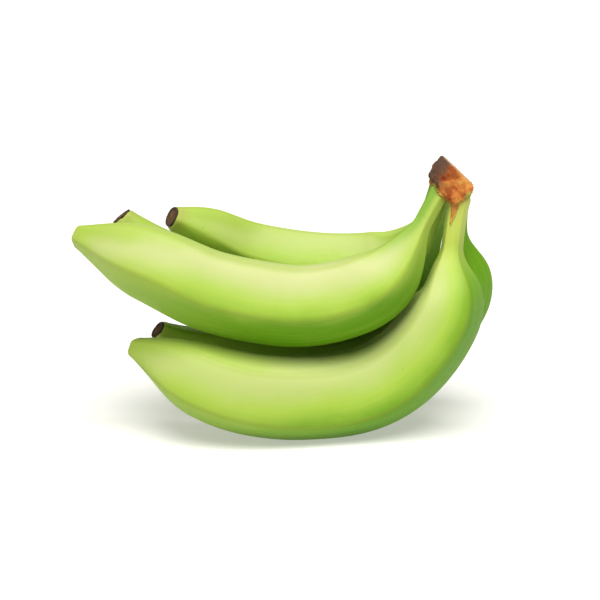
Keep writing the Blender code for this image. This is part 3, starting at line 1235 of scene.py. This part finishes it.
@dataclass
class Crown:
    """The cut crown that the five necks grow from.

    outline is its front, in X and Z, and sections say how that outline changes towards the back. Both
    are the CAD source's. The cut runs from the first corner to the third, and the side that grew
    outside, now weathered, from the ninth back to the first. The three numbers of a noise are its
    roughness exponent, its lacunarity and its octaves, and grain_along is how fine the grain is in
    each direction.
    """

    outline: tuple[tuple[float, float], ...] = (
        (77, 147), (84, 141), (92, 133), (91, 129), (87, 126),
        (82, 123), (77, 126), (73, 130), (70, 136), (73, 142),
    )
    centre: tuple[float, float] = (81, 134)
    sections: tuple[tuple[float, float, float, float], ...] = (
        (12.5, 0.84, 0.0, 0.0),
        (14.0, 0.95, 0.0, 0.0),
        (18.0, 1.00, 0.0, 0.0),
        (26.0, 1.01, -0.5, 0.2),
        (35.0, 1.00, -1.0, 0.3),
        (43.0, 0.95, -1.5, -0.5),
        (49.0, 0.86, -2.0, -1.5),
        (52.5, 0.66, -2.5, -2.0),
    )
    corners: int = 240
    slices: int = 130
    cap_rings: int = 26
    roundings: int = 5
    cap_from: float = 0.04
    lump_size: float = 5.0
    lump_noise: tuple[float, float, int] = (0.9, 2.1, 3)
    relief: float = 0.55
    cut_flatness: float = 0.7
    fibre_relief: float = 0.28
    grain_along: tuple[float, float, float] = (0.9, 0.9, 0.22)
    grain_lean: float = 0.5
    grain_noise: tuple[float, float, int] = (0.8, 2.0, 3)
    crease_squeeze: tuple[float, float, float] = (0.25, 0.8, 0.25)
    crease_level: float = 0.25
    crease_relief: float = 0.5
    inset: float = 0.25
    bruises: tuple[tuple[float, float, float, float], ...] = (
        (80.5, 12.5, 140.5, 3.4),
        (77.0, 12.5, 132.0, 2.6),
    )
    bruise_share: float = 0.8
    green_rims: tuple[tuple[float, float, float], ...] = (
        (90.0, 127.6, 3.3),
        (74.5, 127.5, 1.8),
        (78.0, 124.2, 1.5),
    )
    green_share: float = 0.9
    cut_corners: tuple[float, float] = (0.0, 2.0)
    cut_behind: tuple[float, float] = (13.0, 18.0)
    weathered_side: tuple[int, ...] = (8, 9, 0)
    weathered_reach: float = 8.8
    frayed_above: float = 1.5
    frayed_from: float = 7.5
    frayed_depth: float = 9.0

    def rings(self) -> tuple[np.ndarray, np.ndarray, np.ndarray]:
        """The crown's rings from the middle of its front, over its sides, to the middle of its back.

        Returns:
            The rings' points, and how far each point belongs to the cut and to the weathered side.
        """
        corners = np.array(self.outline, float)
        closed = np.vstack([corners, corners[:1]])
        steps = np.linalg.norm(np.diff(closed, axis=0), axis=1)
        travelled = np.concatenate([[0.0], np.cumsum(steps)])
        wanted = np.linspace(0.0, travelled[-1], self.corners, endpoint=False)
        outline = np.stack([np.interp(wanted, travelled, closed[:, axis]) for axis in (0, 1)], axis=1)
        corner = np.interp(wanted, travelled, np.arange(len(closed)))
        for _ in range(self.roundings):
            beside = np.roll(outline, 1, axis=0), np.roll(outline, -1, axis=0)
            outline = 0.25 * beside[0] + 0.5 * outline + 0.25 * beside[1]
        centre = np.array(self.centre, float)
        away = outline - centre
        reach = np.linalg.norm(away, axis=1, keepdims=True)
        away *= (reach - self.inset) / reach

        cut = ((corner >= self.cut_corners[0]) & (corner <= self.cut_corners[1])).astype(float)
        for _ in range(self.roundings):
            cut = 0.25 * np.roll(cut, 1) + 0.5 * cut + 0.25 * np.roll(cut, -1)

        table = np.array(self.sections)
        depths = np.linspace(table[0, 0], table[-1, 0], self.slices)
        shares, shifts_x, shifts_z = (np.interp(depths, table[:, 0], table[:, i]) for i in (1, 2, 3))
        inwards = np.linspace(self.cap_from, 1.0, self.cap_rings, endpoint=False)
        rings = [(depths[0], shares[0] * part, shifts_x[0], shifts_z[0]) for part in inwards]
        rings += zip(depths, shares, shifts_x, shifts_z)
        rings += [(depths[-1], shares[-1] * part, shifts_x[-1], shifts_z[-1]) for part in inwards[::-1]]
        points = np.array([
            [(centre[0] + share * x + dx, depth, centre[1] + share * z + dz) for x, z in away]
            for depth, share, dx, dz in rings
        ])
        behind = np.array([row[0] for row in rings])[:, None] - self.cut_behind[0]
        behind = np.clip(behind / (self.cut_behind[1] - self.cut_behind[0]), 0.0, 1.0)
        return points, behind * cut[None, :], self.weathering(points)

    def fraying(self, points: np.ndarray) -> np.ndarray:
        """Where the crown's edge is frayed: round its lower front, outside the cut.

        Args:
            points: the crown's points, by ring and place on the ring.

        Returns:
            A share for each vertex of the mesh.
        """
        depth = points[..., 1] - self.sections[0][0]
        below = points[..., 2] < self.centre[1] + self.frayed_above
        edge = np.linalg.norm(points[..., (0, 2)] - np.array(self.centre), axis=-1) > self.frayed_from
        share = ((depth < self.frayed_depth) & below & edge).astype(float)
        return np.concatenate([share.ravel(), [0.0, 0.0]])

    def weathering(self, points: np.ndarray) -> np.ndarray:
        """How weathered each point is, by how near it lies to the side that grew outside.

        Args:
            points: the crown's points, by ring and place on the ring.

        Returns:
            A share for each point, 1 at that side and 0 past the reach.
        """
        flat = points[..., (0, 2)]
        side = np.array([self.outline[i] for i in self.weathered_side], float)
        nearest = np.full(flat.shape[:-1], np.inf)
        for start, end in zip(side, side[1:]):
            along = np.clip((flat - start) @ (end - start) / ((end - start) @ (end - start)), 0.0, 1.0)
            foot = start + along[..., None] * (end - start)
            nearest = np.minimum(nearest, np.linalg.norm(flat - foot, axis=-1))
        left = np.clip(1 - nearest / self.weathered_reach, 0.0, 1.0)
        return left * left * (3 - 2 * left)

    def build(self, frame: HandFrame, look: Material) -> Object:
        """Makes the crown, with its fibrous relief.

        Args:
            frame: where the drawing lies.
            look: the crown's material.

        Returns:
            The crown.
        """
        points, cut, weathered = self.rings()
        shape = points.shape
        bruised = np.zeros(shape[0] * shape[1] + 2)
        green = np.zeros(shape[0] * shape[1] + 2)
        for x, z, width in self.green_rims:
            apart = np.linalg.norm(points.reshape(-1, 3)[:, (0, 2)] - (x, z), axis=1)
            green[:-2] = np.maximum(green[:-2], self.green_share * np.exp(-(apart / width) ** 4))
        for x, y, z, width in self.bruises:
            apart = np.linalg.norm(points.reshape(-1, 3) - (x, y, z), axis=1)
            bruised[:-2] = np.maximum(bruised[:-2], self.bruise_share * np.exp(-(apart / width) ** 2))
        made = loft(frame.place(points.reshape(-1, 3)).reshape(shape))
        made.normal_update()
        cut_flat = np.concatenate([cut.ravel(), [0.0, 0.0]])
        old_flat = np.concatenate([weathered.ravel(), [0.0, 0.0]])
        moves = []
        for vertex, cut_share, old_share in zip(made.verts, cut_flat, old_flat):
            at = vertex.co / MM
            lumps = noise.fractal(at / self.lump_size, *self.lump_noise)
            leaning = Vector((
                at.x * self.grain_along[0] + at.z * self.grain_lean, at.y * self.grain_along[1],
                at.z * self.grain_along[2],
            ))
            grain = noise.fractal(leaning, *self.grain_noise)
            squeezed = Vector([part * by for part, by in zip(at, self.crease_squeeze)])
            creases = abs(noise.noise(squeezed)) - self.crease_level
            lift = self.relief * lumps * (1 - self.cut_flatness * cut_share) + self.fibre_relief * grain
            lift += self.crease_relief * creases * old_share
            moves.append(vertex.normal * (lift * MM))
        for vertex, move in zip(made.verts, moves):
            vertex.co += move
        name = "crown_tissue"
        mesh = to_mesh(name, made, look)
        for label, values in (
            ("fresh_cut", cut_flat),
            ("weathered", old_flat),
            ("bruised", bruised),
            ("green_rim", green),
            ("frayed", self.fraying(points)),
        ):
            write_attribute(mesh, label, values)
        return place_piece(name, mesh)


@dataclass
class TornSkin:
    """Skin of the crown that runs onto the necks: a ragged collar, and a torn strip on the front one.

    The lengths are millimetres of neck below the crown. The strip's tip lies at the given angle of
    the section, and it widens towards the crown by so many degrees before and after that angle.
    """

    collar: float = 0.6
    unevenness: float = 1.1
    strip_length: float = 12.0
    strip_degrees: float = -128.0
    strip_width_before: float = 10.0
    strip_width_after: float = 37.0
    lift: float = 0.22
    edge_lift: float = 0.35
    rim_width: float = 1.5
    rim_from: float = 3.0
    curl_width: float = 1.2
    thickness: float = 0.3
    waves: float = 2.1
    teeth: float = 7.0
    wave_share: float = 0.8
    teeth_share: float = 0.7
    ragged_tip: float = 1.2
    rim_least: float = 0.1
    seed_step: float = 7.0
    teeth_seed: float = 5.0
    searched: float = 40.0

    def limit(self, turn: float, seed: float, with_strip: bool) -> float:
        """How far down the neck the skin reaches at an angle.

        Args:
            turn: the angle round the neck, in radians.
            seed: a number that makes one neck differ from another.
            with_strip: whether this neck carries the torn strip.

        Returns:
            The reach in millimetres.
        """
        turned = np.array([math.cos(turn), math.sin(turn)])
        wave = noise.noise(Vector((*(self.waves * turned), seed)))
        teeth = noise.noise(Vector((*(self.teeth * turned), seed + self.teeth_seed)))
        reach = self.collar + self.unevenness * (self.wave_share * wave + self.teeth_share * teeth)
        if with_strip:
            apart = (math.degrees(turn) - self.strip_degrees + 180) % 360 - 180
            width = self.strip_width_after if apart > 0 else self.strip_width_before
            strip = self.strip_length * (1 - abs(apart) / width)
            reach = max(reach, strip + self.ragged_tip * teeth)
        return reach

    def build(self, finger: Finger, peel: Object, look: Material, with_strip: bool) -> Object:
        """Lifts the skin off the peel's own surface near the crown.

        Args:
            finger: the finger whose neck it lies on.
            peel: that finger's finished peel.
            look: the dried skin's material.
            with_strip: whether this neck carries the torn strip.

        Returns:
            The torn skin.
        """
        mesh = peel.data
        places = read_vectors(mesh, "vertices", "co")
        normals = read_vectors(mesh, "vertices", "normal")
        skin = read_vectors(mesh, "skin", "vector")
        below = read_numbers(mesh, "from_crown") / MM
        turns = np.arctan2(skin[:, 1], skin[:, 0])
        near = np.nonzero(skin[:, 2] < self.searched * MM)[0]
        seed = self.seed_step * len(finger.place)
        spare = np.full(len(places), -1.0)
        for i in near:
            reach = self.limit(float(turns[i]), seed, with_strip)
            spare[i] = reach - below[i]
        kept = bmesh.new()
        index: dict[int, bmesh.types.BMVert] = {}
        for face in mesh.polygons:
            corners = list(face.vertices)
            if len(corners) != 4 or sum(spare[i] for i in corners) / 4 < 0:
                continue
            for i in corners:
                if i not in index:
                    curl = self.edge_lift * max(0.0, 1 - max(spare[i], 0.0) / self.curl_width)
                    index[i] = kept.verts.new(places[i] + normals[i] * (self.lift + curl) * MM)
            kept.faces.new([index[i] for i in corners])
        order = np.array(list(index))
        rims = np.clip(1 - spare[order] / self.rim_width, 0.0, 1.0)
        rims *= np.clip(below[order] / self.rim_from, self.rim_least, 1.0)
        name = f"torn_skin_{finger.place}"
        made = to_mesh(name, kept, look)
        write_attribute(made, "rim", rims)
        piece = place_piece(name, made)
        solid = piece.modifiers.new("thickness", "SOLIDIFY")
        solid.thickness = self.thickness * MM
        solid.offset = 0.0
        return piece


@dataclass(frozen=True)
class LooseFibres:
    """Loose, dried fibres that stand off the crown's frayed edge, scattered by Geometry Nodes."""

    density: float = 0.10
    length: float = 2.0
    thickness: float = 0.2
    tilt: float = 0.7
    sizes: tuple[float, float] = (0.45, 1.2)
    sides: int = 7
    segments: int = 5
    seed: int = 5

    def build_tree(self) -> NodeTree:
        """Makes the tree.

        Returns:
            A tree for a mesh that says where it is frayed.
        """
        tree, source, result = new_geometry_tree("loose_fibres", {
            **dict.fromkeys(("Density", "Length", "Thickness", "Tilt"), "NodeSocketFloat"),
            "Seed": "NodeSocketInt",
            "Fibre": "NodeSocketMaterial",
        })
        given = source.outputs
        frayed = add_node(tree, READ, NUMBER, {"Name": "frayed"})
        density = add_node(tree, MATH, MULTIPLY, {0: frayed, 1: given["Density"]})
        points = add_node(
            tree, "GeometryNodeDistributePointsOnFaces", {"distribute_method": "RANDOM"},
            {"Mesh": given["Geometry"], "Density": density, "Seed": given["Seed"]},
        )
        cone = add_node(
            tree, "GeometryNodeMeshCone", {"fill_type": "TRIANGLE_FAN"},
            {"Vertices": self.sides, "Side Segments": self.segments, "Radius Top": 0.0,
             "Radius Bottom": given["Thickness"], "Depth": given["Length"]},
        )
        least, most = (
            add_node(tree, VECTOR_MATH, SCALE, {0: (side,) * 3, "Scale": given["Tilt"]})
            for side in (-1.0, 1.0)
        )
        lean = add_node(tree, "FunctionNodeRandomValue", TRIPLE, {
            "Min": least, "Max": most, "Seed": given["Seed"],
        })
        lean = add_node(tree, "FunctionNodeEulerToRotation", None, {0: lean})
        stand = add_node(
            tree, "FunctionNodeRotateRotation", {"rotation_space": "LOCAL"},
            {0: points.outputs["Rotation"], 1: lean},
        )
        size = add_node(tree, "FunctionNodeRandomValue", NUMBER, {
            "Min": self.sizes[0], "Max": self.sizes[1], "Seed": given["Seed"],
        })
        fibres = add_node(tree, "GeometryNodeInstanceOnPoints", None, {
            "Points": points.outputs["Points"], "Instance": cone.outputs["Mesh"], "Rotation": stand,
            "Scale": size,
        })
        fibres = add_node(tree, "GeometryNodeRealizeInstances", None, {"Geometry": fibres})
        fibres = add_node(
            tree, "GeometryNodeSetShadeSmooth", None, {"Geometry": fibres, "Shade Smooth": True}
        )
        fibres = add_node(
            tree, "GeometryNodeSetMaterial", None, {"Geometry": fibres, "Material": given["Fibre"]}
        )
        tree.links.new(fibres.outputs[0], result.inputs["Geometry"])
        return tree

    def build(self, crown: Object, look: Material) -> Object:
        """Scatters the fibres.

        Args:
            crown: the crown's finished piece.
            look: the dried skin's material.

        Returns:
            The fibres, as one piece.
        """
        host = place_piece("frayed_edge", crown.data.copy())
        return run_tree(host, self.build_tree(), {
            "Density": self.density / MM ** 2,
            "Length": self.length * MM,
            "Thickness": self.thickness * MM,
            "Tilt": self.tilt,
            "Seed": self.seed,
            "Fibre": look,
        }, "loose_fibres")


@dataclass
class Studio:
    """The camera at the photograph's angle, the white floor and the soft lights.

    The camera's distance and lens give the photograph's perspective, and the target is a point of the
    drawing, in millimetres.
    """

    distance: float = 1.1
    elevation_degrees: float = 12.0
    target: tuple[float, float, float] = (0.0, 30.0, 69.04)
    lens: float = 122.2
    sensor: float = 36.0
    clip: tuple[float, float] = (0.05, 50.0)
    floor_half: float = 12.0
    key_strength: float = 4.5
    key_width_degrees: float = 46.0
    key_from: tuple[float, float, float] = (0.02, -0.48, 1.0)
    surround_front: float = 0.06
    surround_back: float = 0.36
    surround_span: tuple[float, float] = (-0.8, 0.1)
    light: str = "#fffdf8"

    def build_camera(self, frame: HandFrame) -> None:
        """Makes the camera.

        Args:
            frame: where the drawing lies.
        """
        data = bpy.data.cameras.new("photo_angle")
        data.lens = self.lens
        data.sensor_width = self.sensor
        data.clip_start, data.clip_end = self.clip
        camera = bpy.data.objects.new("photo_angle", data)
        bpy.context.scene.collection.objects.link(camera)
        tilt = math.radians(self.elevation_degrees)
        target = Vector(frame.place(np.array(self.target)))
        camera.location = target + self.distance * Vector((0.0, -math.cos(tilt), math.sin(tilt)))
        camera.rotation_euler = (math.radians(90) - tilt, 0.0, 0.0)
        bpy.context.scene.camera = camera

    def build_floor(self) -> None:
        """Makes the floor."""
        half = self.floor_half
        mesh = bpy.data.meshes.new("floor")
        mesh.from_pydata([(-half, -half, 0), (half, -half, 0), (half, half, 0), (-half, half, 0)], [],
                         [(0, 1, 2, 3)])
        mesh.materials.append(WhiteTable().build())
        place_piece("floor", mesh)

    def build_lights(self) -> None:
        """Makes a wide soft light, high in front of the hand, and a dim white surrounding."""
        data = bpy.data.lights.new("overhead_soft_light", "SUN")
        data.angle = math.radians(self.key_width_degrees)
        data.energy = self.key_strength
        data.color = linear(self.light)[:3]
        lamp = bpy.data.objects.new("overhead_soft_light", data)
        bpy.context.scene.collection.objects.link(lamp)
        lamp.rotation_euler = (-Vector(self.key_from)).to_track_quat("-Z", "Y").to_euler()
        surround = bpy.data.worlds.new("white_studio")
        surround.use_nodes = True
        tree = surround.node_tree
        seen = add_node(tree, "ShaderNodeTexCoord").outputs["Generated"]
        direction = add_node(tree, "ShaderNodeSeparateXYZ", None, {0: seen})
        glow = add_node(tree, MAP_RANGE, SMOOTH, {
            "Value": direction.outputs["Y"], "From Min": self.surround_span[0],
            "From Max": self.surround_span[1],
            "To Min": self.surround_front, "To Max": self.surround_back,
        })
        backdrop = tree.nodes["Background"]
        backdrop.inputs["Color"].default_value = linear("#ffffff")
        tree.links.new(glow.outputs[0], backdrop.inputs["Strength"])
        bpy.context.scene.world = surround
        # Plain colours: the photograph's whites are at the top of the scale
        bpy.context.scene.view_settings.view_transform = "Standard"


@dataclass
class Hand:
    """The hand of plantains: its crown, and its five fingers with their scars and torn skin."""

    fingers: tuple[Finger, ...]
    crown: Crown = field(default_factory=Crown)
    torn_skin: TornSkin = field(default_factory=TornSkin)
    fibres: LooseFibres = field(default_factory=LooseFibres)
    strip_on: str = "front_lower"

    def build(self, frame: HandFrame) -> None:
        """Makes and declares every piece.

        Args:
            frame: where the drawing lies.
        """
        crown = self.crown.build(frame, CutTissue().build())
        peel_look = UnripePeel().build()
        scar_look = FlowerScarTissue().build()
        skin_look = DriedSkin().build()
        tree = PeelSweep().build()
        for finger in self.fingers:
            peel = finger.build_peel(frame, tree, crown, peel_look)
            scar = finger.build_scar(frame, scar_look)
            torn = self.torn_skin.build(finger, peel, skin_look, finger.place == self.strip_on)
            declare(peel, "peel", f"finger_{finger.place}")
            declare(scar, "blossom_end", f"blossom_end_{finger.place}")
            declare(torn, "crown")
        fibres = self.fibres.build(crown, skin_look)
        declare(fibres, "crown")
        declare(crown, "crown", "crown")


FINGERS = (
    Finger(
        Depth.FRONT, Row.LOWER,
        ((84, 21, 125), (80, 16, 89), (79, 12, 71), (52, 9, 34), (8, 1, 22), (-39, -7, 29), (-72, 6, 41),
         (-90, 18, 46)),
        body_radius=22.2, fullest_at=0.54, slimming=0.11,
        neck_radius=5.5, neck_length=28.0, shoulder_slope=0.53, root_flare=0.7,
        end_radius=4.8, end_slope=0.38, roll_degrees=8.0, lip=1.0,
        belly_start=20.0, pale_and_highlight_share=0.75, green_turn=0.12, neck_green=0.0, neck_tint=0.9, dry_share=0.2,
    ),
    Finger(
        Depth.FRONT, Row.UPPER,
        ((73, 19, 129), (58, 8, 104), (40, 3, 84), (4, 3, 73), (-25, 1, 76), (-49, 1, 82), (-72, 4, 92),
         (-120, 28, 105)),
        body_radius=21.4, fullest_at=0.52, slimming=0.09,
        neck_radius=4.8, neck_length=22.0, shoulder_slope=0.43, root_flare=0.4,
        end_radius=5.2, end_slope=0.38, roll_degrees=-7.0, lip=1.0,
        belly_start=16.0, pale_and_highlight_share=1.0, green_turn=0.0, neck_green=0.85, neck_tint=0.0, dry_share=0.25,
    ),
    Finger(
        Depth.BACK, Row.UPPER,
        ((76, 46, 131), (68, 67, 101), (53, 83, 80), (15, 92, 74), (-28, 91, 83), (-46, 84, 93),
         (-72, 71, 108)),
        body_radius=20.4, fullest_at=0.44, slimming=0.11,
        neck_radius=4.9, neck_length=32.0, shoulder_slope=0.45, root_flare=0.4,
        end_radius=5.6, end_slope=0.46, roll_degrees=-24.0, lip=0.0,
        belly_start=30.0, pale_and_highlight_share=0.6, green_turn=0.0, neck_green=0.5, neck_tint=0.0, dry_share=0.5,
    ),
    Finger(
        Depth.MIDDLE, Row.UPPER,
        ((77, 32.5, 129), (70.5, 38, 105), (47, 42.5, 77), (14, 49, 65), (-27, 50, 66), (-66, 51, 79),
         (-98, 51, 112)),
        body_radius=19.9, fullest_at=0.49, slimming=0.06,
        neck_radius=4.9, neck_length=22.5, shoulder_slope=0.39, root_flare=0.2,
        end_radius=5.4, end_slope=0.38, roll_degrees=0.0, lip=0.0,
        belly_start=30.0, pale_and_highlight_share=0.0, green_turn=0.2, neck_green=0.4, neck_tint=0.0, dry_share=0.4,
    ),
    # The back lower finger: its neck is darkened with painted shade beside the front finger's neck, and its
    # deep outer green is turned outwards
    Finger(
        Depth.BACK, Row.LOWER,
        ((86.5, 40, 127), (85, 44, 107), (87, 48, 89), (87, 53, 73), (63, 57, 39), (10, 57, 21),
         (-53, 55, 32), (-79, 48, 49)),
        body_radius=21.1, fullest_at=0.52, slimming=0.09,
        neck_radius=5.2, neck_length=27.0, shoulder_slope=0.50, root_flare=0.4,
        end_radius=4.9, end_slope=0.38, roll_degrees=-6.0, lip=0.0,
        belly_start=30.0, pale_and_highlight_share=0.7, green_turn=-0.45, neck_green=-1.2, neck_tint=0.0, dry_share=0.3,
    ),
)


def main() -> None:
    """Loads the frame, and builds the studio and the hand."""
    logging.basicConfig(level=logging.INFO, format="%(name)s: %(message)s")
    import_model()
    frame = HandFrame()
    studio = Studio()
    studio.build_camera(frame)
    studio.build_floor()
    studio.build_lights()
    Hand(FINGERS).build(frame)


if __name__ == "__main__":
    main()
